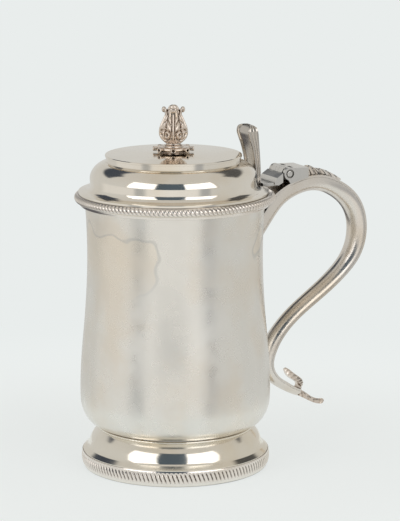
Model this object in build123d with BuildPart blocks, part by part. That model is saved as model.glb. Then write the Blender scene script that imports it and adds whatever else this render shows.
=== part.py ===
"""Lidded tankard of silver sheet: a waisted body on a moulded foot, a hollow scroll handle,
and a domed lid with a bud finial that turns on a five-knuckle hinge over the handle.

Millimetres. Z is the axis of the vessel, the foot stands on Z = 0, the handle is on the
+X side, and the hinge pin runs along Y.
"""
from build123d import *
import math
import os

# Sheet, and the solder seam between soldered pieces
sheet = 1.2
seam = 0.03

# Vessel
rim_z = 167.0
lip_r = 54.2
waist_r = 52.8
waist_z = 134.0
mid_r = 54.6
mid_z = 92.0
belly_r = 57.6
belly_z = 46.0
joint_r = 46.0
joint_z = 25.3
floor_dip = 1.4

# Rim moulding
rim_out_r = 60.3
rim_reed_z = 164.5
rim_band_r = 57.2
rim_low_z = 160.3
rim_top_r = 58.0

# Foot
foot_neck_r = 46.3
foot_edge_r = 56.8
foot_edge_z = 9.6
foot_reed_r = 57.2
foot_wire_r = 55.9
foot_wire_h = 2.2
foot_inner_r = 53.6
bead_r = 0.9

# Lid
lid_x = -0.9
lid_gap = 0.15
lid_edge_r = 57.0
lid_edge_z = 168.4
shoulder_r = 50.1
shoulder_z = 176.0
step_r = 40.4
step_low_z = 185.9
disc_r = 40.9
disc_z = 189.2
disc_t = 1.1
disc_rise = 1.2
bezel_r = 50.4
bezel_t = 1.2
bezel_low_z = 162.6

# Hinge: pin centre, half length and knuckles along Y
pin_x = 72.3
pin_z = 174.6
pin_r = 1.9
pin_half = 10.3
running = 0.05
axial = 0.1
knuckle_r = 3.9
slot_r = 5.0
cheek_t = 2.8
centre_half = 2.0
bore_rim_r = 2.7
bore_rim_depth = 0.7
plate_end_x = 85.0
plate_top_z = 178.1
block_gap = 4.7
lug_low_z = 168.0
lug_half = 9.5

# Thumbpiece
thumb_half = 8.6
thumb_foot_half = 7.4
thumb_foot_x = 54.3
thumb_foot_z = 169.6
thumb_top_z = 205.6

# Handle: each station gives the outer line's place (x, z), its direction in degrees above +X,
# the depth of the section and half its width
handle_seam = 0.1
strap_t = 1.3
pad_z = 59.0
pad_half_w = 4.2
pad_half_h = 7.0
pad_end_x = 58.9
belly_t = 1.1
strap_crown = 0.4
handle_stations = [
    (50.0, 150.5, 0, 24.0, 10.6),
    (61.8, 162.2, 36, 12.8, 10.4),
    (73.4, 168.9, 24, 11.6, 10.1),
    (85.0, 172.0, 9, 11.0, 9.7),
    (97.0, 171.8, -10, 10.6, 9.4),
    (109.3, 166.9, -33, 10.2, 9.1),
    (120.2, 157.8, -51, 9.8, 8.8),
    (126.4, 144.6, -77, 8.9, 8.4),
    (127.0, 132.0, -97, 8.5, 8.1),
    (122.6, 118.5, -118, 7.9, 7.7),
    (113.6, 107.8, -136, 7.2, 7.3),
    (97.6, 95.0, -143, 6.8, 6.9),
    (82.5, 84.0, -138, 6.6, 6.5),
    (72.3, 73.9, -126, 6.8, 6.2),
    (65.9, 62.8, -108, 7.4, 5.9),
    (64.6, 54.4, -84, 6.6, 5.6),
    (68.9, 46.9, -48, 5.7, 5.2),
    (76.8, 41.3, -32, 5.2, 4.8),
    (84.6, 37.2, -25, 4.8, 4.4),
]

# Finial
bud_low_z = 197.0
tip_z = 220.0
bud_r = 8.4
leaf_turn = -25.5
calyx_r = 12.4
stud_r = 1.5
nut_r = 4.2

os.makedirs("parts", exist_ok=True)


def body_line(inset):
    """Half outline of the vessel's wall and floor, moved inwards by inset."""
    wall = Spline(
        (lip_r - inset, rim_z),
        (waist_r - inset, waist_z),
        (mid_r - inset, mid_z),
        (belly_r - inset, belly_z),
        tangents=((-0.06, -1), (0, -1)),
    )
    turn = Spline(
        wall @ 1,
        (56.2 - 0.93 * inset, 35.0 + 0.36 * inset),
        (52.3 - 0.63 * inset, 28.6 + 0.78 * inset),
        (joint_r - 0.2 * inset, joint_z + inset),
        tangents=((0, -1), (-1, -0.28)),
    )
    floor = Spline(turn @ 1, (0, joint_z + inset - floor_dip), tangents=((-1, -0.28), (-1, 0)))
    Polyline(floor @ 1, (0, rim_z), (lip_r - inset, rim_z))


# Raised body, open at the top
with BuildPart() as vessel_body:
    with BuildSketch(Plane.XZ):
        with BuildLine():
            body_line(0)
        make_face()
    revolve(axis=Axis.Z)
    with BuildSketch(Plane.XZ):
        with BuildLine():
            body_line(sheet)
        make_face()
    revolve(axis=Axis.Z, mode=Mode.SUBTRACT)
vessel_body.part.label = "vessel_body"
export_step(vessel_body.part, "parts/vessel_body.step")

# Cast rim moulding round the lip: a reeded roll over a plain hollow band
with BuildPart() as rim_moulding:
    with BuildSketch(Plane.XZ):
        with BuildLine():
            Line((lip_r, rim_z), (rim_top_r, rim_z))
            ThreePointArc((rim_top_r, rim_z), (rim_out_r, rim_reed_z), (rim_top_r + 0.6, rim_reed_z - 2.2))
            ThreePointArc(
                (rim_top_r + 0.6, rim_reed_z - 2.2),
                (rim_band_r + 0.5, rim_reed_z - 2.9),
                (rim_band_r, rim_low_z),
            )
            Line((rim_band_r, rim_low_z), (lip_r, rim_low_z))
            Line((lip_r, rim_low_z), (lip_r, rim_z))
        make_face()
    revolve(axis=Axis.Z)
    add(vessel_body.part, mode=Mode.SUBTRACT)
rim_moulding.part.label = "rim_moulding"
export_step(rim_moulding.part, "parts/rim_moulding.step")


def foot_line(inset):
    """Outline of the spun foot from the neck to its edge, moved inwards by inset."""
    Spline(
        (foot_neck_r - inset, joint_z - 0.8),
        (47.2 - inset, 23.4 - 0.3 * inset),
        (48.8 - inset, 21.5 - 0.4 * inset),
        (50.5 - inset, 19.2 - 0.4 * inset),
        (51.8 - inset, 16.4 - 0.3 * inset),
        (52.6 - inset, 13.8 - 0.3 * inset),
        (53.6 - inset, 12.2 - 0.4 * inset),
    )
    Polyline(
        (53.6 - inset, 12.2 - 0.4 * inset),
        (foot_edge_r - 0.5 - inset, foot_edge_z + 0.5 - 0.5 * inset),
        (foot_edge_r - 0.5 - inset, foot_wire_h),
    )


# Spun foot, hollow underneath
with BuildPart() as foot:
    with BuildSketch(Plane.XZ):
        with BuildLine():
            foot_line(0)
            Polyline(
                (foot_neck_r, joint_z - 0.8),
                (foot_neck_r - sheet, joint_z - 0.8),
            )
            foot_line(sheet)
            Line((foot_edge_r - 0.5 - sheet, foot_wire_h), (foot_edge_r - 0.5, foot_wire_h))
        make_face()
    revolve(axis=Axis.Z)
    add(vessel_body.part, mode=Mode.SUBTRACT)
foot.part.label = "foot"
export_step(foot.part, "parts/foot.step")

# Half-round wire over the joint of body and foot
with BuildPart() as joint_wire:
    with BuildSketch(Plane.XZ):
        with Locations((foot_neck_r + 0.2, joint_z - 0.9)):
            Circle(bead_r)
    revolve(axis=Axis.Z)
    add(foot.part, mode=Mode.SUBTRACT)
    add(vessel_body.part, mode=Mode.SUBTRACT)
joint_wire.part.label = "joint_wire"
export_step(joint_wire.part, "parts/joint_wire.step")

# Reeded moulding round the foot's edge
with BuildPart() as foot_moulding:
    with BuildSketch(Plane.XZ):
        with BuildLine():
            Line((foot_edge_r - 0.5, foot_edge_z), (foot_edge_r, foot_edge_z))
            ThreePointArc(
                (foot_edge_r, foot_edge_z),
                (foot_reed_r, 0.5 * (foot_edge_z + foot_wire_h)),
                (foot_wire_r + 0.8, foot_wire_h),
            )
            Polyline(
                (foot_wire_r + 0.8, foot_wire_h),
                (foot_edge_r - 0.5, foot_wire_h),
                (foot_edge_r - 0.5, foot_edge_z),
            )
        make_face()
    revolve(axis=Axis.Z)
foot_moulding.part.label = "foot_moulding"
export_step(foot_moulding.part, "parts/foot_moulding.step")

# Flat wire that the tankard stands on
with BuildPart() as foot_wire:
    with BuildSketch(Plane.XZ):
        with Locations((0.5 * (foot_inner_r + foot_wire_r), 0.5 * foot_wire_h)):
            Rectangle(foot_wire_r - foot_inner_r, foot_wire_h)
    revolve(axis=Axis.Z)
    fillet(foot_wire.edges().filter_by(GeomType.CIRCLE).group_by(Axis.Z)[0], 0.5)
foot_wire.part.label = "foot_wire"
export_step(foot_wire.part, "parts/foot_wire.step")


lid_plane = Plane(origin=(lid_x, 0, 0), x_dir=(1, 0, 0), z_dir=(0, -1, 0))
lid_axis = Axis((lid_x, 0, 0), (0, 0, 1))
flange_z = rim_z + lid_gap

# Lid: flange, hollow, bulging shoulder and the upright step under the top disc
with BuildPart() as lid_shell:
    with BuildSketch(lid_plane):
        with BuildLine():
            Polyline(
                (bezel_r - 0.2, flange_z),
                (lid_edge_r, flange_z),
                (lid_edge_r, lid_edge_z),
                (lid_edge_r - 3.4, lid_edge_z + 0.7),
            )
            Spline(
                (lid_edge_r - 3.4, lid_edge_z + 0.7),
                (shoulder_r + 0.9, shoulder_z - 5.8),
                (shoulder_r - 0.1, shoulder_z - 3.4),
                (shoulder_r, shoulder_z),
                (shoulder_r - 0.8, shoulder_z + 3.4),
                (shoulder_r - 2.6, shoulder_z + 6.2),
                (shoulder_r - 5.3, shoulder_z + 8.4),
                (step_r + 1.0, step_low_z - 0.1),
            )
            Polyline(
                (step_r + 1.0, step_low_z - 0.1),
                (step_r, step_low_z + 0.3),
                (step_r, disc_z),
                (step_r - sheet, disc_z),
                (step_r - sheet, step_low_z - 0.9),
            )
            Spline(
                (step_r - sheet, step_low_z - 0.9),
                (shoulder_r - 6.2, shoulder_z + 7.3),
                (shoulder_r - 3.6, shoulder_z + 5.3),
                (shoulder_r - 2.0, shoulder_z + 2.9),
                (shoulder_r - sheet, shoulder_z),
                (shoulder_r - 1.3, shoulder_z - 4.0),
                (bezel_r - 0.2, flange_z),
            )
        make_face()
    revolve(axis=lid_axis)
lid_shell.part.label = "lid_shell"
export_step(lid_shell.part, "parts/lid_shell.step")

# Locating ring that drops inside the lip
with BuildPart() as lid_bezel:
    with BuildSketch(lid_plane):
        with Locations((bezel_r - 0.5 * bezel_t, 0.5 * (bezel_low_z + flange_z + 0.8))):
            Rectangle(bezel_t, flange_z + 0.8 - bezel_low_z)
    revolve(axis=lid_axis)
    add(lid_shell.part, mode=Mode.SUBTRACT)
lid_bezel.part.label = "lid_bezel"
export_step(lid_bezel.part, "parts/lid_bezel.step")

# Top disc, slightly crowned, with the hole for the finial's stud
with BuildPart() as lid_top:
    with BuildSketch(lid_plane):
        with BuildLine():
            Polyline(
                (stud_r, disc_z + disc_rise),
                (stud_r, disc_z + disc_t + disc_rise),
            )
            ThreePointArc(
                (stud_r, disc_z + disc_t + disc_rise),
                (0.7 * disc_r, disc_z + disc_t + 0.5 * disc_rise),
                (disc_r - 0.3, disc_z + disc_t),
            )
            Polyline(
                (disc_r - 0.3, disc_z + disc_t),
                (disc_r, disc_z + disc_t - 0.3),
                (disc_r, disc_z),
                (step_r - sheet, disc_z),
            )
            ThreePointArc(
                (step_r - sheet, disc_z),
                (0.7 * step_r, disc_z + 0.5 * disc_rise),
                (stud_r, disc_z + disc_rise),
            )
        make_face()
    revolve(axis=lid_axis)
lid_top.part.label = "lid_top"
export_step(lid_top.part, "parts/lid_top.step")

calyx_low_z = disc_z + disc_t + disc_rise
washer_top_z = disc_z + disc_rise - 0.03

# Collar of eight blunt leaves under the bud
with BuildPart() as petal:
    with BuildSketch(Plane.XZ):
        with BuildLine():
            Line((4.0, 0), (calyx_r, 0))
            ThreePointArc((calyx_r, 0), (calyx_r - 1.2, 1.9), (calyx_r - 3.2, 1.7))
            Line((calyx_r - 3.2, 1.7), (4.0, 1.2))
            Line((4.0, 1.2), (4.0, 0))
        make_face()
    revolve(axis=Axis.X)

with BuildPart() as finial_calyx:
    with BuildSketch(lid_plane):
        with BuildLine():
            Polyline(
                (stud_r, calyx_low_z),
                (6.6, calyx_low_z),
                (6.0, calyx_low_z + 1.6),
            )
            ThreePointArc(
                (6.0, calyx_low_z + 1.6),
                (6.4, calyx_low_z + 3.4),
                (4.6, bud_low_z),
            )
            Polyline(
                (4.6, bud_low_z),
                (stud_r, bud_low_z),
                (stud_r, calyx_low_z),
            )
        make_face()
    revolve(axis=lid_axis)
    with Locations((lid_x, 0, calyx_low_z + 2.3)):
        with PolarLocations(0, 8, start_angle=leaf_turn):
            add(petal.part)
finial_calyx.part.label = "finial_calyx"
export_step(finial_calyx.part, "parts/finial_calyx.step")


def lobed(crest, valley):
    """Four rounded lobes round the axis, crests on the leaf directions."""
    for quarter in range(4):
        middle = math.radians(leaf_turn + 90 * quarter)
        before = middle - math.radians(45)
        after = middle + math.radians(45)
        ThreePointArc(
            (valley * math.cos(before), valley * math.sin(before)),
            (crest * math.cos(middle), crest * math.sin(middle)),
            (valley * math.cos(after), valley * math.sin(after)),
        )


# Bud of four leaves whose tips curl outwards
bud_sections = [(0.0, 5.0), (2.4, 7.2), (6.0, bud_r), (10.5, 7.9), (15.0, 6.2), (19.5, 4.6), (22.2, 2.8)]
with BuildPart() as finial_bud:
    for rise, crest in bud_sections:
        with BuildSketch(Plane.XY.offset(bud_low_z + rise)):
            with BuildLine():
                lobed(crest, 0.8 * crest)
            make_face()
    loft()
    with PolarLocations(4.7, 4, start_angle=leaf_turn):
        with Locations((0, 0, bud_low_z + 20.9)):
            Sphere(1.3)
    with Locations((0, 0, tip_z - 2.0)):
        Sphere(2.0)
    with Locations((0, 0, bud_low_z)):
        Cylinder(stud_r, 6.0, align=(Align.CENTER, Align.CENTER, Align.MIN), mode=Mode.SUBTRACT)
finial_bud.part = finial_bud.part.moved(Location((lid_x, 0, 0)))
finial_bud.part.label = "finial_bud"
export_step(finial_bud.part, "parts/finial_bud.step")

# Stud, washer and nut that hold the finial through the lid's top
with BuildPart() as finial_stud:
    with BuildSketch(Plane.XY.offset(washer_top_z - 5.4)):
        with Locations((lid_x, 0)):
            Circle(stud_r)
    extrude(amount=bud_low_z + 6.0 - washer_top_z + 5.4)
finial_stud.part.label = "finial_stud"
export_step(finial_stud.part, "parts/finial_stud.step")

with BuildPart() as finial_washer:
    with BuildSketch(Plane.XY.offset(washer_top_z)):
        with Locations((lid_x, 0)):
            Circle(5.4)
            Circle(stud_r, mode=Mode.SUBTRACT)
    extrude(amount=-0.8)
finial_washer.part.label = "finial_washer"
export_step(finial_washer.part, "parts/finial_washer.step")

with BuildPart() as finial_nut:
    with BuildSketch(Plane.XY.offset(washer_top_z - 0.8)):
        with Locations((lid_x, 0)):
            RegularPolygon(nut_r, 6)
            Circle(stud_r, mode=Mode.SUBTRACT)
    extrude(amount=-3.0)
    chamfer(finial_nut.faces().sort_by(Axis.Z)[0].outer_wire().edges(), 0.4)
finial_nut.part.label = "finial_nut"
export_step(finial_nut.part, "parts/finial_nut.step")

# Filled outline of the vessel with its seam, for trimming what is soldered to it
with BuildPart() as vessel_full:
    with BuildSketch(Plane.XZ):
        with BuildLine():
            body_line(-seam)
        make_face()
    revolve(axis=Axis.Z)


def station_plane(x, z, angle):
    """Plane across the handle: local x across the strap, local y outwards from the hand."""
    turn = math.radians(angle)
    return Plane(origin=(x, 0, z), x_dir=(0, 1, 0), z_dir=(math.cos(turn), 0, math.sin(turn)))


def half_oval(half, depth, drop):
    """Half-oval line of the handle's inner side, from edge to edge, drop below the plane's origin."""
    EllipticalCenterArc((0, -drop), half, depth - drop, start_angle=180, arc_size=90)
    EllipticalCenterArc((0, -drop), half, depth - drop, start_angle=270, arc_size=90)


# Strap along the outside of the handle, slightly crowned
with BuildPart() as handle_back:
    for x, z, angle, depth, half in handle_stations:
        with BuildSketch(station_plane(x, z, angle)):
            with BuildLine():
                Polyline((-half, 0), (-half, -strap_t), (half, -strap_t), (half, 0))
                ThreePointArc((half, 0), (0, strap_crown), (-half, 0))
            make_face()
    loft()
    add(vessel_full.part, mode=Mode.SUBTRACT)
    add(rim_moulding.part, mode=Mode.SUBTRACT)
handle_back.part.label = "handle_back"
export_step(handle_back.part, "parts/handle_back.step")

# Inner side of the hollow handle, a trough of half-oval section under the strap
belly_top = strap_t + handle_seam
with BuildPart() as handle_belly:
    for x, z, angle, depth, half in handle_stations:
        with BuildSketch(station_plane(x, z, angle)):
            with BuildLine():
                half_oval(half, depth, belly_top)
                Line((half, -belly_top), (half - belly_t, -belly_top))
                half_oval(half - belly_t, depth - belly_t, belly_top)
                Line((belly_t - half, -belly_top), (-half, -belly_top))
            make_face()
    loft()
    add(vessel_full.part, mode=Mode.SUBTRACT)
    add(rim_moulding.part, mode=Mode.SUBTRACT)
handle_belly.part.label = "handle_belly"
export_step(handle_belly.part, "parts/handle_belly.step")

# The handle's outline with its seam as one solid, for trimming what is soldered to it
with BuildPart() as handle_full:
    for x, z, angle, depth, half in handle_stations:
        side = half + handle_seam
        with BuildSketch(station_plane(x, z, angle)):
            with BuildLine():
                Line((-side, -strap_t), (-side, handle_seam))
                ThreePointArc((-side, handle_seam), (0, strap_crown + handle_seam), (side, handle_seam))
                Line((side, handle_seam), (side, -strap_t))
                half_oval(side, depth + handle_seam, strap_t)
            make_face()
    loft()

# Solder pad where the handle touches the belly of the vessel
with BuildPart() as handle_pad:
    with BuildSketch(Plane.YZ.offset(belly_r - 4.0)):
        with Locations((0, pad_z)):
            Ellipse(pad_half_w, pad_half_h)
    extrude(amount=pad_end_x - belly_r + 4.0)
    add(vessel_full.part, mode=Mode.SUBTRACT)
    add(handle_full.part, mode=Mode.SUBTRACT)
handle_pad.part.label = "handle_pad"
export_step(handle_pad.part, "parts/handle_pad.step")


def slab(outline, half):
    """Side outline in the XZ plane, extruded to half on both sides of it."""
    with BuildSketch(Plane.XZ) as face:
        with BuildLine():
            Polyline(*outline, close=True)
        make_face()
    extrude(face.sketch, amount=half, both=True)


# Hinge: the lid's two knuckles turn between the plate's end cheeks and its centre knuckle
cheek_in = pin_half - cheek_t
gap_middle = 0.5 * (cheek_in + centre_half)
gap_width = cheek_in - centre_half
pin_turn = (90, 0, 0)
knuckle_top = [(pin_x - 4.5, pin_z + 0.5), (pin_x - 2.7, pin_z + 3.5), (pin_x, pin_z + 3.6)]

with BuildPart() as hinge_plate:
    slab(
        [
            (pin_x, plate_top_z),
            (plate_end_x, plate_top_z - 0.3),
            (plate_end_x, 171.7),
            (pin_x + 0.5, 168.4),
            (pin_x - 1.4, 171.2),
        ],
        pin_half,
    )
    with Locations((pin_x, 0, pin_z)):
        Cylinder(knuckle_r, 2 * pin_half, rotation=pin_turn)
    slab([*knuckle_top, (pin_x + 1.0, pin_z), (pin_x - 3.0, pin_z - 2.4)], centre_half)
    with Locations((pin_x, -gap_middle, pin_z), (pin_x, gap_middle, pin_z)):
        Cylinder(slot_r, gap_width, rotation=pin_turn, mode=Mode.SUBTRACT)
    with Locations((pin_x, 0, pin_z)):
        Cylinder(pin_r, 2 * pin_half, rotation=pin_turn, mode=Mode.SUBTRACT)
    with Locations((pin_x, -pin_half, pin_z), (pin_x, pin_half, pin_z)):
        Cylinder(bore_rim_r, 2 * bore_rim_depth, rotation=pin_turn, mode=Mode.SUBTRACT)
    add(handle_full.part, mode=Mode.SUBTRACT)
hinge_plate.part.label = "hinge_plate"
export_step(hinge_plate.part, "parts/hinge_plate.step")

with BuildPart() as hinge_pin:
    with Locations((pin_x, 0, pin_z)):
        Cylinder(pin_r, 2 * pin_half, rotation=pin_turn)
    fillet(hinge_pin.edges().filter_by(GeomType.CIRCLE), bore_rim_depth - 0.1)
hinge_pin.part.label = "hinge_pin"
export_step(hinge_pin.part, "parts/hinge_pin.step")

# The lid's two knuckles with the arms that join them to the lug
with BuildPart() as lid_knuckles:
    slab(
        [
            *knuckle_top,
            (pin_x + 1.0, pin_z),
            (pin_x, pin_z - knuckle_r),
            (pin_x - block_gap - 0.6, pin_z - 3.2),
            (pin_x - block_gap - 0.6, pin_z + 0.5),
        ],
        cheek_in - axial,
    )
    with Locations((pin_x, 0, pin_z)):
        Cylinder(knuckle_r, 2 * (cheek_in - axial), rotation=pin_turn)
        Cylinder(slot_r + 1.0, 2 * (centre_half + axial), rotation=pin_turn, mode=Mode.SUBTRACT)
        Cylinder(pin_r + running, 2 * pin_half, rotation=pin_turn, mode=Mode.SUBTRACT)

# Lug under the lid's flange: a tongue, a bevelled block and the knuckles
with BuildPart() as lid_hinge_lug:
    slab(
        [
            (thumb_foot_x, lug_low_z),
            (pin_x - 7.8, lug_low_z),
            (pin_x - 7.8, thumb_foot_z + 0.3),
            (thumb_foot_x, thumb_foot_z + 0.3),
        ],
        lug_half,
    )
    slab(
        [
            (pin_x - 10.4, lug_low_z + 0.6),
            (pin_x - 10.4, thumb_foot_z),
            (pin_x - 8.8, thumb_foot_z + 3.0),
            (pin_x - block_gap, pin_z + 0.7),
            (pin_x - block_gap, thumb_foot_z),
            (pin_x - 7.8, lug_low_z),
        ],
        pin_half,
    )
    with Locations((pin_x, 0, pin_z)):
        Cylinder(block_gap, 2 * pin_half, rotation=pin_turn, mode=Mode.SUBTRACT)
    add(lid_knuckles.part)
    add(lid_shell.part, mode=Mode.SUBTRACT)
lid_hinge_lug.part.label = "lid_hinge_lug"
export_step(lid_hinge_lug.part, "parts/lid_hinge_lug.step")

# Thumbpiece: an upright plate that leans to the lid and rolls over at the top
thumb_low_z = thumb_foot_z - 1.0
with BuildPart() as thumbpiece:
    with BuildSketch(Plane.XZ):
        with BuildLine():
            Polyline(
                (50.9, thumb_low_z),
                (thumb_foot_x, thumb_low_z),
                (thumb_foot_x, thumb_foot_z),
                (52.1, 195),
                (50.2, 201),
            )
            Spline(
                (50.2, 201),
                (48.5, 204.8),
                (46.3, thumb_top_z - 0.2),
                (44.6, 203.6),
                (45.4, 201.8),
                (47.2, 200.5),
                tangents=((-0.3, 1), (1, -0.3)),
            )
            Polyline((47.2, 200.5), (48.5, 195), (50.9, thumb_foot_z), (50.9, thumb_low_z))
        make_face()
    extrude(amount=thumb_half, both=True)
    with BuildSketch(Plane.YZ):
        with BuildLine():
            Polyline(
                (-thumb_half, thumb_top_z - thumb_half),
                (-thumb_foot_half, thumb_low_z),
                (thumb_foot_half, thumb_low_z),
                (thumb_half, thumb_top_z - thumb_half),
            )
            ThreePointArc(
                (thumb_half, thumb_top_z - thumb_half),
                (0, thumb_top_z),
                (-thumb_half, thumb_top_z - thumb_half),
            )
        make_face()
    extrude(amount=2 * thumb_foot_x, mode=Mode.INTERSECT)
    add(lid_shell.part, mode=Mode.SUBTRACT)
    add(lid_hinge_lug.part, mode=Mode.SUBTRACT)
thumbpiece.part.label = "thumbpiece"
export_step(thumbpiece.part, "parts/thumbpiece.step")


def leaf_blank(side, half, lie, plan):
    """Leaf cut to its side outline, then to half its plan outline, mirrored, on the plane lie."""
    slab(side, half)
    with BuildSketch(lie) as face:
        with BuildLine():
            Polyline(*plan)
            mirror(about=Plane.XZ)
        make_face()
    extrude(face.sketch, amount=30, both=True, mode=Mode.INTERSECT)


# Leaf on top of the handle, behind the hinge
with BuildPart() as leaf_cap:
    leaf_blank(
        [
            (plate_end_x, 170.5),
            (plate_end_x, 176.2),
            (88, 177.4),
            (91, 177.3),
            (94.5, 175.4),
            (98.8, 174.7),
            (104, 172.6),
            (113, 167.9),
            (112, 165),
            (98, 170),
        ],
        8.0,
        Plane.XY.offset(170),
        [
            (plate_end_x, 0),
            (plate_end_x, 6.4),
            (90, 7.6),
            (94, 6.0),
            (97.5, 6.4),
            (102.5, 4.6),
            (108, 3.2),
            (113.2, 0),
        ],
    )
    add(handle_full.part, mode=Mode.SUBTRACT)
leaf_cap.part.label = "leaf_cap"
export_step(leaf_cap.part, "parts/leaf_cap.step")

# Leaf at the end of the handle, running on from it
with BuildPart() as tail_leaf:
    leaf_blank(
        [
            (83.0, 38.6),
            (86.2, 36.2),
            (90.3, 33.4),
            (94, 30.5),
            (98, 29),
            (101, 29),
            (102.8, 27.9),
            (100.3, 26),
            (94.5, 27.2),
            (91, 28.9),
            (87.7, 30.7),
            (82.0, 33.3),
        ],
        5.0,
        Plane(origin=(84, 0, 36), x_dir=(0.9, 0, -0.44), z_dir=(0.44, 0, 0.9)),
        [(-4, 0), (-4, 4.4), (0, 4.7), (5, 4.9), (10, 4.2), (14, 3.4), (18, 2.4), (21, 0)],
    )
    add(handle_full.part, mode=Mode.SUBTRACT)
tail_leaf.part.label = "tail_leaf"
export_step(tail_leaf.part, "parts/tail_leaf.step")

# Leaf that springs from the same place and curls back over the handle
with BuildPart() as tail_spur:
    leaf_blank(
        [
            (74.8, 51.4),
            (77.8, 50),
            (81.5, 47),
            (85.6, 44),
            (87.4, 41.9),
            (87.2, 39.5),
            (86, 35.5),
            (82.5, 38),
            (80.5, 42.5),
            (77.7, 44.9),
            (75.7, 47.3),
            (74.2, 50.2),
        ],
        5.0,
        Plane(origin=(86, 0, 39), x_dir=(-0.67, 0, 0.74), z_dir=(0.74, 0, 0.67)),
        [(-4, 0), (-4, 3.6), (0, 4.2), (5, 4.0), (10, 3.0), (14, 2.0), (18, 0)],
    )
    add(handle_full.part, mode=Mode.SUBTRACT)
    add(tail_leaf.part, mode=Mode.SUBTRACT)
tail_spur.part.label = "tail_spur"
export_step(tail_spur.part, "parts/tail_spur.step")
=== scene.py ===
"""Looks of the lidded silver tankard: chased mouldings, finial, leaves and thumbpiece, silver, studio, camera."""
import math

import bpy
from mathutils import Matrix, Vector


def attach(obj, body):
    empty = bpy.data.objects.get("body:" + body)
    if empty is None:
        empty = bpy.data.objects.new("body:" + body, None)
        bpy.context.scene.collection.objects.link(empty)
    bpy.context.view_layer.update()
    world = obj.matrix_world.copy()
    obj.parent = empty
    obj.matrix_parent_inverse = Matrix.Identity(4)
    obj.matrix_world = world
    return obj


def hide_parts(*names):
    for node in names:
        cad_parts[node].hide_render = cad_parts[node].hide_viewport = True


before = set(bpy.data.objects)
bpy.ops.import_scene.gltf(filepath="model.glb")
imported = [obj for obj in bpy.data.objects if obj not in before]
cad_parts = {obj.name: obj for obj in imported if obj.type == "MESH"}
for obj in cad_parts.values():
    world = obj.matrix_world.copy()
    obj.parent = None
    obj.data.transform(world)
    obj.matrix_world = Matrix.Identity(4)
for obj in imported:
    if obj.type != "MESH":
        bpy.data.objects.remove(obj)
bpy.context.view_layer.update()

# Driving sizes in millimetres, in the frame's own axes
mm = 0.001
lid_x = -0.9
disc_top = 191.5
bud_low = 197.0
bud_top = 220.0
leaf_turn = -25.5

# Camera, solved on the rings of the lid, rim and foot; pixels are in a 400 x 521 frame
image_width = 400
image_height = 521
focal_px = 2461.0
camera_azimuth = -25.5
camera_distance = 1453.0
camera_height = 412.8
camera_pitch = 11.19
axis_px = 175.15
aim_height = 100
sensor_mm = 36.0

# Reeds round the rim and the foot, and the facets that draw one reed
rim_reeds = 140
foot_reeds = 138
reed_facets = 10

# Backdrop colour, linear
backdrop = (0.815, 0.847, 0.839)

# Share of glow in the floor near the object, its level there, and the radii in metres over which it fades
# to the backdrop's colour and turns clear to reflections
floor_glow = 0.62
near_level = 1.225
fade_start, fade_end = 0.12, 0.40
clear_start, clear_end = 0.14, 0.24
floor_half = 8


def mesh_piece(name, shells, body, slot, material, *nodes):
    """Piece from shells of rings in mm; each shell is (rings, whether the last ring meets the first)."""
    points = []
    faces = []
    for rings, loop in shells:
        base = len(points)
        count = len(rings[0])
        for ring in rings:
            points.extend(Vector(p) * mm for p in ring)
        spans = len(rings) if loop else len(rings) - 1
        for j in range(spans):
            low = base + j * count
            high = base + (j + 1) % len(rings) * count
            for i in range(count):
                k = (i + 1) % count
                faces.append((low + i, low + k, high + k, high + i))
        if not loop:
            faces.append(tuple(base + i for i in reversed(range(count))))
            top = base + (len(rings) - 1) * count
            faces.append(tuple(top + i for i in range(count)))
    mesh = bpy.data.meshes.new(name)
    mesh.from_pydata(points, [], faces)
    mesh.shade_smooth()
    mesh.set_sharp_from_angle(angle=math.radians(50))
    piece = bpy.data.objects.new(name, mesh)
    bpy.context.scene.collection.objects.link(piece)
    mesh.materials.append(material)
    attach(piece, body)
    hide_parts(*nodes)


def along(points, share):
    """Point at a share of a smooth line through points of any dimension."""
    reached = min(max(share, 0.0), 1.0) * (len(points) - 1)
    k = min(int(reached), len(points) - 2)
    t = reached - k
    p1, p2 = points[k], points[k + 1]
    p0 = points[k - 1] if k else tuple(2 * a - b for a, b in zip(p1, p2))
    p3 = points[k + 2] if k + 2 < len(points) else tuple(2 * b - a for a, b in zip(p1, p2))
    return tuple(
        0.5 * (2 * b + (c - a) * t + (2 * a - 5 * b + 4 * c - d) * t * t + (3 * b - a - 3 * c + d) * t ** 3)
        for a, b, c, d in zip(p0, p1, p2, p3)
    )


def value_along(values, share):
    """Number at a share of a smooth line through numbers."""
    return along([(value,) for value in values], share)[0]


def spoke(turn):
    """Outward and sideways directions at a turn in degrees about Z."""
    angle = math.radians(turn)
    return Vector((math.cos(angle), math.sin(angle), 0)), Vector((-math.sin(angle), math.cos(angle), 0))


def bump_at(distance, width):
    """Rounded bump of height 1, that wide."""
    return math.exp(-((distance / width) ** 2))


def arc(start, middle, end, steps):
    """Points on the arc through three points, ends included."""
    (ax, ay), (bx, by), (cx, cy) = start, middle, end
    d = 2 * (ax * (by - cy) + bx * (cy - ay) + cx * (ay - by))
    sa, sb, sc = ax * ax + ay * ay, bx * bx + by * by, cx * cx + cy * cy
    ux = (sa * (by - cy) + sb * (cy - ay) + sc * (ay - by)) / d
    uy = (sa * (cx - bx) + sb * (ax - cx) + sc * (bx - ax)) / d
    radius = math.hypot(ax - ux, ay - uy)
    first = math.atan2(ay - uy, ax - ux)
    sweep = math.atan2(cy - uy, cx - ux) - first
    half = math.atan2(by - uy, bx - ux) - first
    half = (half + math.pi) % (2 * math.pi) - math.pi
    sweep = (sweep + math.pi) % (2 * math.pi) - math.pi
    if half * sweep < 0:
        sweep -= math.copysign(2 * math.pi, sweep)
    return [
        (ux + radius * math.cos(first + sweep * i / steps), uy + radius * math.sin(first + sweep * i / steps))
        for i in range(steps + 1)
    ]


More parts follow.
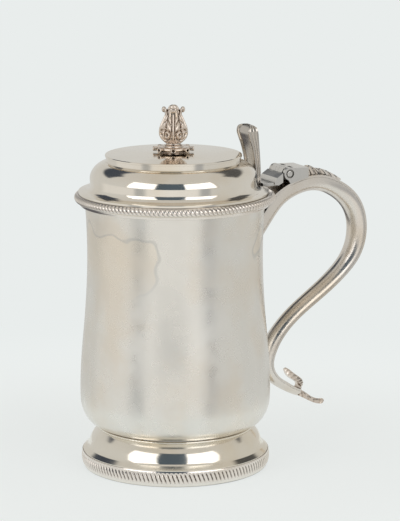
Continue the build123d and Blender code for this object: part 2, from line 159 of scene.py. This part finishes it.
def turned(outline, centre, segments, cut=None):
    """Rings of a closed outline (r, z) turned about Z; cut(index, angle) moves a point inwards."""
    count = len(outline)
    middle = (sum(p[0] for p in outline) / count, sum(p[1] for p in outline) / count)
    normals = []
    for i in range(count):
        (ar, az), (br, bz) = outline[i - 1], outline[(i + 1) % count]
        n = Vector((bz - az, ar - br)).normalized()
        out = Vector((outline[i][0] - middle[0], outline[i][1] - middle[1]))
        normals.append(n if n.dot(out) > 0 else -n)
    rings = []
    for j in range(segments):
        angle = 2 * math.pi * j / segments
        ring = []
        for i, (r, z) in enumerate(outline):
            inward = cut(i, angle) if cut else 0.0
            r -= inward * normals[i][0]
            z -= inward * normals[i][1]
            ring.append((centre + r * math.cos(angle), r * math.sin(angle), z))
        rings.append(ring)
    return rings


def reeds(first, last, count, depth, slant):
    """Cut for oblique round reeds on the outline's points from first to last."""
    def cut(i, angle):
        if not first <= i <= last:
            return 0.0
        share = (i - first) / (last - first)
        phase = (angle * count / (2 * math.pi) - slant * share) % 1.0
        ridge = math.sqrt(max(0.0, 1 - (2 * phase - 1) ** 2))
        ends = min(1.0, 6 * share, 6 * (1 - share))
        return depth * ends * (1 - ridge)
    return cut


def new_material(name):
    """Empty node material, its tree and its output."""
    material = bpy.data.materials.new(name)
    material.use_nodes = True
    tree = material.node_tree
    tree.nodes.clear()
    output = tree.nodes.new("ShaderNodeOutputMaterial")
    return material, tree, output


def maths(tree, operation, *values):
    """Maths node on sockets or numbers."""
    node = tree.nodes.new("ShaderNodeMath")
    node.operation = operation
    for i, value in enumerate(values):
        if isinstance(value, (int, float)):
            node.inputs[i].default_value = value
        else:
            tree.links.new(value, node.inputs[i])
    return node.outputs[0]


def noise(tree, scale, detail, stretch=(1, 1, 1)):
    """Noise in the object's own metres, stretched along the axes."""
    place = tree.nodes.new("ShaderNodeTexCoord")
    mapping = tree.nodes.new("ShaderNodeMapping")
    mapping.inputs["Scale"].default_value = stretch
    texture = tree.nodes.new("ShaderNodeTexNoise")
    texture.inputs["Scale"].default_value = scale
    texture.inputs["Detail"].default_value = detail
    tree.links.new(place.outputs["Object"], mapping.inputs["Vector"])
    tree.links.new(mapping.outputs["Vector"], texture.inputs["Vector"])
    return texture.outputs["Fac"]


def ranged(tree, value, low, high, new_low, new_high):
    """Value eased from one range to another, held at its ends."""
    node = tree.nodes.new("ShaderNodeMapRange")
    node.interpolation_type = "SMOOTHSTEP"
    tree.links.new(value, node.inputs["Value"])
    for key, number in (("From Min", low), ("From Max", high), ("To Min", new_low), ("To Max", new_high)):
        node.inputs[key].default_value = number
    return node.outputs["Result"]


def blended(tree, share, first, second):
    """Colour mixed from first to second, each a colour or a socket."""
    node = tree.nodes.new("ShaderNodeMix")
    node.data_type = "RGBA"
    tree.links.new(share, node.inputs["Factor"])
    for key, colour in (("A", first), ("B", second)):
        socket = [s for s in node.inputs if s.name == key and s.type == "RGBA"][0]
        if isinstance(colour, tuple):
            socket.default_value = (*colour, 1)
        else:
            tree.links.new(colour, socket)
    return [s for s in node.outputs if s.type == "RGBA"][0]


# Water stains: heights in metres over which they come in, the level of the cloud at their edge, and their colours
stain_heights = (0.105, 0.135)
stain_edge = 0.556
stain_tint = (0.86, 0.78, 0.66)
stain_ring = (0.52, 0.52, 0.50)


def silver(name, tint, warm, hollow_shade_and_tarnish, rough, spread, reach, hollows, scratch, stains=False):
    """Silver with patches of warm tarnish, painted shade darkening hollows and surfaces near other parts (partly
    tarnish in the hollows), smudged gloss, streaks and fine scratches.
    """
    material, tree, output = new_material(name)
    shader = tree.nodes.new("ShaderNodeBsdfPrincipled")
    shader.inputs["Metallic"].default_value = 1.0
    patches = ranged(tree, noise(tree, 28, 4), 0.42, 0.70, 0.0, 1.0)
    colour = blended(tree, patches, tint, warm)
    streaks = ranged(tree, noise(tree, 60, 3, (1.0, 1.0, 0.06)), 0.35, 0.75, 0.0, 0.22)
    colour = blended(tree, streaks, colour, tuple(0.82 * c for c in tint))
    if stains:
        cloud = noise(tree, 15, 2.5)
        place = tree.nodes.new("ShaderNodeTexCoord")
        split = tree.nodes.new("ShaderNodeSeparateXYZ")
        tree.links.new(place.outputs["Object"], split.inputs[0])
        upper = ranged(tree, split.outputs["Z"], *stain_heights, 0.0, 1.0)
        inside = maths(tree, "MULTIPLY", upper, ranged(tree, cloud, 0.552, 0.570, 0.0, 0.55))
        colour = blended(tree, inside, colour, stain_tint)
        from_edge = maths(tree, "ABSOLUTE", maths(tree, "SUBTRACT", cloud, stain_edge))
        outline = ranged(tree, from_edge, 0.002, 0.012, 0.4, 0.0)
        colour = blended(tree, maths(tree, "MULTIPLY", upper, outline), colour, stain_ring)
    # Painted shade: ambient occlusion blends the colour towards the hollow colour in hollows, in creases and next to
    # other parts or the floor; in chased hollows it also stands for tarnish
    hollow = tree.nodes.new("ShaderNodeAmbientOcclusion")
    hollow.inputs["Distance"].default_value = reach * mm
    hollow.samples = 8
    shade = ranged(tree, hollow.outputs["AO"], hollows[0], hollows[1], 1.0, 0.0)
    colour = blended(tree, shade, colour, hollow_shade_and_tarnish)
    smudge = noise(tree, 90, 5)
    gloss = ranged(tree, smudge, 0.3, 0.75, rough, rough + spread)
    fine = noise(tree, 900, 3, (1.0, 1.0, 0.08))
    bump = tree.nodes.new("ShaderNodeBump")
    bump.inputs["Strength"].default_value = scratch
    bump.inputs["Distance"].default_value = 0.05 * mm
    tree.links.new(fine, bump.inputs["Height"])
    tree.links.new(colour, shader.inputs["Base Color"])
    tree.links.new(gloss, shader.inputs["Roughness"])
    tree.links.new(bump.outputs["Normal"], shader.inputs["Normal"])
    tree.links.new(shader.outputs["BSDF"], output.inputs["Surface"])
    return material


# Ambient-occlusion ranges over which the painted shade in hollows comes in
soft_hollows = (0.25, 0.85)
deep_hollows = (0.52, 1.0)
# Each material's third colour is its painted shade in hollows and near other surfaces, partly tarnish; on the foot
# wire it paints the shadow line where the foot meets the floor
wire_silver = silver(
    "wire_silver", (0.87, 0.83, 0.77), (0.83, 0.77, 0.69), (0.10, 0.09, 0.08), 0.12, 0.08, 1.0, (0.25, 0.75), 0.01
)
body_silver = silver(
    "body_silver", (0.86, 0.84, 0.79), (0.84, 0.78, 0.69), (0.45, 0.38, 0.28),
    0.25, 0.10, 2.0, soft_hollows, 0.008, stains=True,
)
lid_silver = silver(
    "lid_silver", (0.87, 0.82, 0.74), (0.83, 0.75, 0.63), (0.42, 0.34, 0.24), 0.07, 0.08, 2.0, soft_hollows, 0.01
)
foot_silver = silver(
    "foot_silver", (0.86, 0.81, 0.72), (0.82, 0.74, 0.61), (0.42, 0.34, 0.24), 0.08, 0.08, 2.0, soft_hollows, 0.01
)
handle_silver = silver(
    "handle_silver", (0.80, 0.75, 0.69), (0.72, 0.63, 0.52), (0.30, 0.22, 0.15), 0.19, 0.10, 5.0, soft_hollows, 0.01
)
moulding_silver = silver(
    "moulding_silver", (0.86, 0.80, 0.74), (0.80, 0.72, 0.63), (0.10, 0.07, 0.05), 0.12, 0.08, 2.2, deep_hollows, 0.03
)
hinge_silver = silver(
    "hinge_silver", (0.72, 0.70, 0.67), (0.64, 0.60, 0.54), (0.08, 0.07, 0.06), 0.12, 0.12, 4.0, (0.35, 0.95), 0.04
)
cast_silver = silver(
    "cast_silver", (0.80, 0.71, 0.63), (0.72, 0.60, 0.50), (0.12, 0.075, 0.05), 0.18, 0.12, 1.4, (0.30, 0.90), 0.06
)
thumb_silver = silver(
    "thumb_silver", (0.66, 0.63, 0.60), (0.58, 0.53, 0.47), (0.09, 0.08, 0.075), 0.14, 0.10, 3.0, (0.35, 1.0), 0.06
)

node_looks = {
    "vessel_body": body_silver,
    "lid_bezel": body_silver,
    "foot": foot_silver,
    "foot_wire": wire_silver,
    "joint_wire": foot_silver,
    "handle_back": handle_silver,
    "handle_belly": handle_silver,
    "handle_pad": handle_silver,
    "lid_shell": lid_silver,
    "lid_top": lid_silver,
    "hinge_plate": hinge_silver,
    "hinge_pin": hinge_silver,
    "lid_hinge_lug": hinge_silver,
    "finial_stud": hinge_silver,
    "finial_washer": hinge_silver,
    "finial_nut": hinge_silver,
}
for node, look in node_looks.items():
    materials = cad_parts[node].data.materials
    materials.clear()
    materials.append(look)

# Rim moulding: reeded roll, cove and plain band with a rounded lower edge
roll = arc((58.0, 167.0), (60.3, 164.5), (58.6, 162.3), 18)
cove = arc((58.6, 162.3), (57.7, 161.6), (57.2, 160.7), 6)
rim_line = [(54.2, 167.0), *roll, *cove[1:], (56.9, 160.3), (53.9, 160.3)]
rim_reed_depth = 0.6
mesh_piece(
    "rim_moulding_reeded",
    [(turned(
        rim_line, 0.0, rim_reeds * reed_facets, reeds(2, len(roll) + 1, rim_reeds, rim_reed_depth, 1.2)
    ), True)],
    "vessel", "moulding_silver", moulding_silver, "rim_moulding",
)

# Foot moulding: plain edge line over oblique reeds
band = arc((56.8, 9.2), (57.2, 5.9), (56.7, 2.3), 16)
edge_line = [(56.3, 9.6), (56.6, 9.6), *band, (56.3, 2.2)]
edge_reed_depth = 1.0
mesh_piece(
    "foot_moulding_reeded",
    [(turned(
        edge_line, 0.0, foot_reeds * reed_facets, reeds(3, len(band) + 1, foot_reeds, edge_reed_depth, 0.9)
    ), True)],
    "vessel", "moulding_silver", moulding_silver, "foot_moulding",
)

# Finial: a bud of four leaves with a rib, furrows, side lobes and a scroll eye on each side
bud_profile = (4.6, 6.9, 8.1, 8.35, 8.05, 7.3, 6.3, 5.3, 4.4, 3.3, 1.9)
bud_rows, bud_around = 110, 240
leaf_span = 90
lobe_height = 4.6
eye_across, eye_rise = 4.3, 5.4
eye_ring, eye_fillet = 2.75, 1.6


def bud_point(share, turn):
    """Point of the bud's surface at a share of its height and a turn in degrees."""
    radius = value_along(bud_profile, share)
    rise = share * (bud_top - bud_low - 0.6)
    from_rib = (turn - leaf_turn + leaf_span / 2) % leaf_span - leaf_span / 2
    across = abs(math.radians(from_rib) * radius)
    edge = abs(from_rib) / (leaf_span / 2)
    open_leaf = min(1.0, 8 * share, 6 * (1 - share))
    inward = 0.13 * radius * edge ** 3
    inward += 1.0 * bump_at(leaf_span / 2 - abs(from_rib), 5) * open_leaf
    inward += 0.8 * bump_at(across - 1.0, 0.38) * open_leaf - 0.35 * bump_at(across, 0.5)
    lobe = abs(math.sin(math.pi * (rise - 1.9 * across + 0.16 * across ** 2 + 0.4) / lobe_height)) ** 0.5
    upper = min(1.0, max(0.0, (rise - 8.0) / 2.0)) * min(1.0, max(0.0, (across - 1.2) / 0.6))
    inward += 1.1 * (1 - lobe) * upper * open_leaf
    eye = math.hypot(across - eye_across, 0.9 * (rise - eye_rise))
    scroll = min(1.0, max(0.0, (9.5 - rise) / 1.5))
    rings_round_eye = 1.1 * bump_at(eye - eye_ring, 0.5) + 1.2 * bump_at(eye, 0.75)
    inward += scroll * (rings_round_eye - 0.5 * bump_at(eye - eye_fillet, 0.7))
    radius -= inward
    angle = math.radians(turn)
    return (lid_x + radius * math.cos(angle), radius * math.sin(angle), bud_low + rise)


curl_rows, curl_around = 28, 20


def curl(turn, path, halves, thickness):
    """Flat tongue along a path (r, z) in the plane at turn, with the half width of each place."""
    outward, side = spoke(turn)
    rings = []
    for j in range(curl_rows + 1):
        share = j / curl_rows
        r, z = along(path, share)
        ahead = along(path, share + 0.01)
        back = along(path, share - 0.01)
        flow = Vector((ahead[0] - back[0], ahead[1] - back[1])).normalized()
        half = value_along(halves, share)
        ring = []
        for i in range(curl_around):
            around = 2 * math.pi * i / curl_around
            over = thickness * math.sin(around) * (1 - 0.35 * bump_at(math.cos(around), 0.3))
            p = outward * (r - flow[1] * over) + side * half * math.cos(around)
            ring.append((lid_x + p[0], p[1], z + flow[0] * over))
        rings.append(ring)
    return rings, False


bud_rings = [
    [bud_point(j / bud_rows, 360 * i / bud_around) for i in range(bud_around)] for j in range(bud_rows + 1)
]
tip_path = [(3.4, 212.4), (4.3, 215.2), (5.0, 217.2), (5.7, 217.9), (6.1, 217.2), (5.8, 216.3), (5.1, 216.3)]
tip_halves = (2.8, 2.7, 2.4, 2.1, 1.8, 1.5, 1.0)
point_heights = (213.0, 216.0, 218.4, 219.5, 219.97)
point_rows, point_around = 14, 24
bud_shells = [(bud_rings, False)]
for quarter in range(4):
    bud_shells.append(curl(leaf_turn + leaf_span * quarter, tip_path, tip_halves, 1.05))
point_rings = []
for j in range(point_rows + 1):
    share = j / point_rows
    z = value_along(point_heights, share)
    radius = 2.7 * math.sqrt(max(0.0, 1 - share ** 2.2)) + 0.05
    arounds = [math.tau * i / point_around for i in range(point_around)]
    point_rings.append([(lid_x + radius * math.cos(a), radius * math.sin(a), z) for a in arounds])
bud_shells.append((point_rings, False))
mesh_piece("finial_bud_chased", bud_shells, "lid", "cast_silver", cast_silver, "finial_bud")

# Calyx: a waisted collar and eight small leaves rolled into tubes with open ends
collar = [
    (1.6, disc_top), (6.7, disc_top), (6.7, disc_top + 0.7), (6.0, disc_top + 1.1),
    *arc((5.6, disc_top + 1.5), (6.3, disc_top + 3.0), (5.4, disc_top + 4.4), 8),
    (4.5, disc_top + 4.7), (4.4, disc_top + 5.5), (1.6, disc_top + 5.5),
]
web = [(1.6, 1.2), (8.8, 1.2), (9.6, 1.7), (9.8, 2.3), (9.5, 2.9), (8.7, 3.3), (1.6, 3.3)]
collar_facets = 96
calyx_shells = [
    (turned(collar, lid_x, collar_facets), True),
    (turned([(r, disc_top + rise) for r, rise in web], lid_x, collar_facets), True),
]
petal_line = [
    (4.6, 1.0), (7.4, 1.25), (10.2, 1.5), (11.6, 1.65), (12.2, 1.5), (12.2, 1.0), (11.6, 0.8), (10.4, 0.75),
]
petal_rows, petal_around = 35, 24
petal_rise = 2.2
for eighth in range(8):
    outward, side = spoke(leaf_turn + 45 * eighth)
    rings = []
    for r, radius in (along(petal_line, j / petal_rows) for j in range(petal_rows + 1)):
        ring = []
        for i in range(petal_around):
            around = math.tau * i / petal_around
            crease = 1 - 0.18 * bump_at(math.sin(around) - 1, 0.35)
            p = outward * r + side * radius * math.cos(around)
            ring.append((lid_x + p[0], p[1], disc_top + petal_rise + 0.92 * radius * crease * math.sin(around)))
        rings.append(ring)
    calyx_shells.append((rings, False))
mesh_piece("finial_calyx_chased", calyx_shells, "lid", "cast_silver", cast_silver, "finial_calyx")


def leaf(ridge, foot, halves, lobes, scallop, steps=90, across=16):
    """Leaf between its ridge line and its foot line (x, z), with scalloped edges and slanting veins."""
    rings = []
    for j in range(steps + 1):
        share = j / steps
        top = along(ridge, share)
        low = along(foot, share)
        wave = abs(math.sin(math.pi * share * lobes)) ** 0.55
        half = value_along(halves, share) * (1 - scallop * (1 - wave))
        ring = []
        for i in range(across + 1):
            v = 2 * i / across - 1
            vein = abs(math.sin(math.pi * (share * lobes + 0.35 * abs(v)))) ** 0.5
            height = (1 - abs(v) ** 2.4) * (1 - 0.4 * (1 - vein) * min(1, 3 * abs(v)))
            height -= 0.16 * bump_at(abs(v) - 0.16, 0.09)
            ring.append((low[0] + (top[0] - low[0]) * height, half * v, low[1] + (top[1] - low[1]) * height))
        for i in range(1, across):
            v = 1 - 2 * i / across
            ring.append((low[0], half * v, low[1]))
        rings.append(ring)
    return rings, False


# Leaf on the handle, then the leaf and the spur at its tail
cap_ridge = [
    (85, 176.2), (88, 177.4), (91, 177.2), (94.5, 175.5), (98.8, 174.7), (104, 172.6), (109, 169.9), (113, 167.3),
]
cap_foot = [
    (85, 172.3), (88, 172.6), (91, 172.7), (94.5, 172.6), (98.8, 171.9), (104, 169.9), (109, 167.4), (112.8, 166.6),
]
mesh_piece(
    "leaf_cap_chased", [leaf(cap_ridge, cap_foot, (6.4, 7.4, 7.2, 6.0, 6.2, 4.8, 3.2, 0.6), 6, 0.18)],
    "vessel", "cast_silver", moulding_silver, "leaf_cap",
)
tail_ridge = [(84.6, 37.4), (86.4, 36.0), (90.3, 33.4), (94, 30.7), (98, 29.1), (101, 28.9), (102.7, 27.9)]
tail_foot = [(82.8, 33.3), (84.6, 32.4), (87.7, 30.7), (91, 28.9), (94.5, 27.3), (98.5, 26.2), (101.4, 26.2)]
mesh_piece(
    "tail_leaf_chased", [leaf(tail_ridge, tail_foot, (4.3, 4.6, 4.9, 4.3, 3.4, 2.9, 1.6), 5, 0.2)],
    "vessel", "cast_silver", cast_silver, "tail_leaf",
)
spur_ridge = [(86.0, 36.6), (87.2, 39.5), (87.4, 41.9), (85.6, 44), (81.5, 47), (77.8, 50), (75.2, 51.5)]
spur_foot = [(83.6, 37.8), (84.2, 39.4), (83.4, 40.9), (80.5, 42.8), (77.7, 44.9), (75.7, 47.3), (74.2, 50.2)]
mesh_piece(
    "tail_spur_chased", [leaf(spur_ridge, spur_foot, (3.6, 4.0, 4.2, 4.0, 3.2, 2.2, 1.2), 9, 0.14)],
    "vessel", "cast_silver", cast_silver, "tail_spur",
)

# Thumbpiece: a shield with a recessed panel towards the lid, a raised border and reeds on its rolled top
thumb_front = [
    (50.9, 169.0), (50.6, 176), (49.7, 184), (48.2, 191), (46.4, 196.5), (45.3, 200.6), (46.1, 203.9), (49.1, 205.35),
]
thumb_back = [
    (54.3, 169.0), (53.9, 176), (53.3, 184), (52.6, 191), (52.0, 196.5), (51.5, 200.6), (50.8, 203.9), (49.2, 205.4),
]
thumb_half = 8.6
thumb_foot_half = 7.2
thumb_shoulder = 0.70
thumb_border = 1.3
thumb_dish = 0.9
thumb_rows = 140
thumb_across = 32
thumb_thick = 12


def thumb_edge(front, back, half, step):
    """Point of the reeded edge at a step from front to back, on the positive side."""
    t = step / thumb_thick
    y = half - 0.35 * (1 - abs(math.sin(math.pi * 3 * t)) ** 0.6)
    return front[0] + (back[0] - front[0]) * t, y, front[1] + (back[1] - front[1]) * t


thumb_rings = []
for j in range(thumb_rows + 1):
    share = j / thumb_rows
    front = along(thumb_front, share)
    back = along(thumb_back, share)
    over = max(0.0, (share - thumb_shoulder) / (1 - thumb_shoulder))
    half = thumb_foot_half + (thumb_half - thumb_foot_half) * min(1.0, share / thumb_shoulder)
    half *= math.sqrt(max(0.002, 1 - over ** 2.4))
    reed = 0.3 * (1 - abs(math.sin(math.pi * 3 * over)) ** 0.6) * min(1.0, 12 * over)
    ring = []
    for i in range(thumb_across + 1):
        v = math.sin(0.5 * math.pi * (2 * i / thumb_across - 1))
        margin = min(half * (1 - abs(v)), (1 - over) * 9.0, 60 * share)
        dish = thumb_dish * min(1.0, max(0.0, (margin - thumb_border) / 0.6)) if over < 0.95 else 0.0
        groove = 0.25 * bump_at(margin - 0.6, 0.2)
        ring.append((front[0] + dish + groove, half * v, front[1]))
    ring.extend(thumb_edge(front, back, half, k) for k in range(1, thumb_thick))
    for i in range(thumb_across + 1):
        v = -math.sin(0.5 * math.pi * (2 * i / thumb_across - 1))
        ring.append((back[0] - 0.8 * abs(v) ** 4 * (1 - abs(v) ** 8) - reed, half * v, back[1]))
    for k in range(thumb_thick - 1, 0, -1):
        x, y, z = thumb_edge(front, back, half, k)
        ring.append((x, -y, z))
    thumb_rings.append(ring)
mesh_piece("thumbpiece_reeded", [(thumb_rings, False)], "lid", "cast_silver", thumb_silver, "thumbpiece")

# Camera at the photograph's angle
heading = math.radians(camera_azimuth)
pitch = math.radians(camera_pitch)
towards = Vector((math.sin(heading), -math.cos(heading), 0))
right = Vector((math.cos(heading), math.sin(heading), 0))
look = -towards * math.cos(pitch) - Vector((0, 0, math.sin(pitch)))
stand = towards * camera_distance + Vector((0, 0, camera_height))
axis_depth = (Vector((0, 0, aim_height)) - stand).dot(look)
stand -= right * (axis_px - 0.5 * image_width) * axis_depth / focal_px
lens = bpy.data.cameras.new("camera")
lens.sensor_fit = "VERTICAL"
lens.sensor_height = sensor_mm
lens.lens = focal_px / image_height * sensor_mm
lens.clip_end = 50
camera = bpy.data.objects.new("camera", lens)
bpy.context.scene.collection.objects.link(camera)
camera.location = stand * mm
camera.rotation_euler = look.to_track_quat("-Z", "Y").to_euler()
bpy.context.scene.camera = camera

# Floor: lit near the object so that it keeps the shadow, and fading to the backdrop's colour
floor_mesh = bpy.data.meshes.new("floor")
floor_corners = [(x * floor_half, y * floor_half, 0) for x, y in ((-1, -1), (1, -1), (1, 1), (-1, 1))]
floor_mesh.from_pydata(floor_corners, [], [(0, 1, 2, 3)])
floor = bpy.data.objects.new("floor", floor_mesh)
bpy.context.scene.collection.objects.link(floor)
material, tree, output = new_material("floor")
floor_mesh.materials.append(material)
lit = tree.nodes.new("ShaderNodeBsdfDiffuse")
lit.inputs["Color"].default_value = (0.80, 0.815, 0.81, 1)
glow = tree.nodes.new("ShaderNodeEmission")
glow.inputs["Color"].default_value = (*backdrop, 1)
path = tree.nodes.new("ShaderNodeLightPath")
seen = maths(tree, "MAXIMUM", path.outputs["Is Camera Ray"], path.outputs["Is Glossy Ray"])
coordinate = tree.nodes.new("ShaderNodeTexCoord")
length = tree.nodes.new("ShaderNodeVectorMath")
length.operation = "LENGTH"
tree.links.new(coordinate.outputs["Object"], length.inputs[0])
far = ranged(tree, length.outputs["Value"], fade_start, fade_end, floor_glow, 1.0)
glow_share = maths(tree, "MULTIPLY", seen, far)
level = ranged(tree, length.outputs["Value"], fade_start, fade_end, near_level, 1.0)
tree.links.new(level, glow.inputs["Strength"])
mix = tree.nodes.new("ShaderNodeMixShader")
tree.links.new(glow_share, mix.inputs["Fac"])
tree.links.new(lit.outputs["BSDF"], mix.inputs[1])
tree.links.new(glow.outputs["Emission"], mix.inputs[2])
clear = tree.nodes.new("ShaderNodeBsdfTransparent")
beyond = ranged(tree, length.outputs["Value"], clear_start, clear_end, 0.0, 1.0)
through = tree.nodes.new("ShaderNodeMixShader")
tree.links.new(maths(tree, "MULTIPLY", path.outputs["Is Glossy Ray"], beyond), through.inputs["Fac"])
tree.links.new(mix.outputs["Shader"], through.inputs[1])
tree.links.new(clear.outputs["BSDF"], through.inputs[2])
tree.links.new(through.outputs["Shader"], output.inputs["Surface"])

# World: pale room, two white softboxes in front with a dark gap, and dark corners behind
world = bpy.data.worlds.new("studio")
bpy.context.scene.world = world
world.use_nodes = True
tree = world.node_tree
tree.nodes.clear()
output = tree.nodes.new("ShaderNodeOutputWorld")
background = tree.nodes.new("ShaderNodeBackground")
coordinate = tree.nodes.new("ShaderNodeTexCoord")
split = tree.nodes.new("ShaderNodeSeparateXYZ")
tree.links.new(coordinate.outputs["Generated"], split.inputs[0])


def dotted(direction):
    """Part of the world's direction along a level direction."""
    a = maths(tree, "MULTIPLY", split.outputs["X"], direction[0])
    b = maths(tree, "MULTIPLY", split.outputs["Y"], direction[1])
    return maths(tree, "ADD", a, b)


to_front = dotted(towards)
to_right = dotted(right)
azimuth = maths(tree, "DEGREES", maths(tree, "ARCTAN2", to_right, to_front))
elevation = maths(tree, "DEGREES", maths(tree, "ARCSINE", split.outputs["Z"]))


def window(azimuth_low, azimuth_high, elevation_low, elevation_high, soft):
    """Soft-edged mask over a patch of the room, in degrees from the camera's side."""
    left_side = ranged(tree, azimuth, azimuth_low - soft, azimuth_low + soft, 0.0, 1.0)
    right_side = ranged(tree, azimuth, azimuth_high - soft, azimuth_high + soft, 1.0, 0.0)
    low_side = ranged(tree, elevation, elevation_low - soft, elevation_low + soft, 0.0, 1.0)
    high_side = ranged(tree, elevation, elevation_high - soft, elevation_high + soft, 1.0, 0.0)
    sides = maths(tree, "MULTIPLY", left_side, right_side)
    return maths(tree, "MULTIPLY", sides, maths(tree, "MULTIPLY", low_side, high_side))


room = blended(tree, ranged(tree, elevation, -5, 75, 0.0, 1.0), (0.66, 0.66, 0.64), (0.62, 0.60, 0.56))
# Each patch: azimuths, elevations and edge softness in degrees, then its colour
patches = [
    ((-70, 66, 2, 48, 2), (0.60, 0.58, 0.54)),
    ((-112, -50, -60, 3, 6), (0.77, 0.76, 0.73)),
    ((-37, 35, -60, 3, 4), (0.84, 0.83, 0.80)),
    ((-54, -40, -60, 4, 4), (0.47, 0.48, 0.48)),
    ((38, 52, -60, 4, 4), (0.44, 0.45, 0.46)),
    ((-178, -100, -62, -19, 4), (0.13, 0.13, 0.14)),
    ((-26, 18, 4, 46, 1.2), (0.09, 0.12, 0.15)),
    ((-66, -25, 6, 42, 1.2), (1.7, 1.7, 1.7)),
    ((17, 62, 6, 42, 1.2), (1.7, 1.7, 1.7)),
    ((-176, -112, 27, 50, 3), (0.06, 0.07, 0.09)),
    ((112, 170, 29, 50, 3), (0.09, 0.09, 0.09)),
]
for extent, colour in patches:
    room = blended(tree, window(*extent), room, colour)
rays = tree.nodes.new("ShaderNodeLightPath")
room = blended(tree, rays.outputs["Is Camera Ray"], room, backdrop)
tree.links.new(room, background.inputs["Color"])
tree.links.new(background.outputs["Background"], output.inputs["Surface"])

bpy.context.scene.view_settings.view_transform = "Standard"
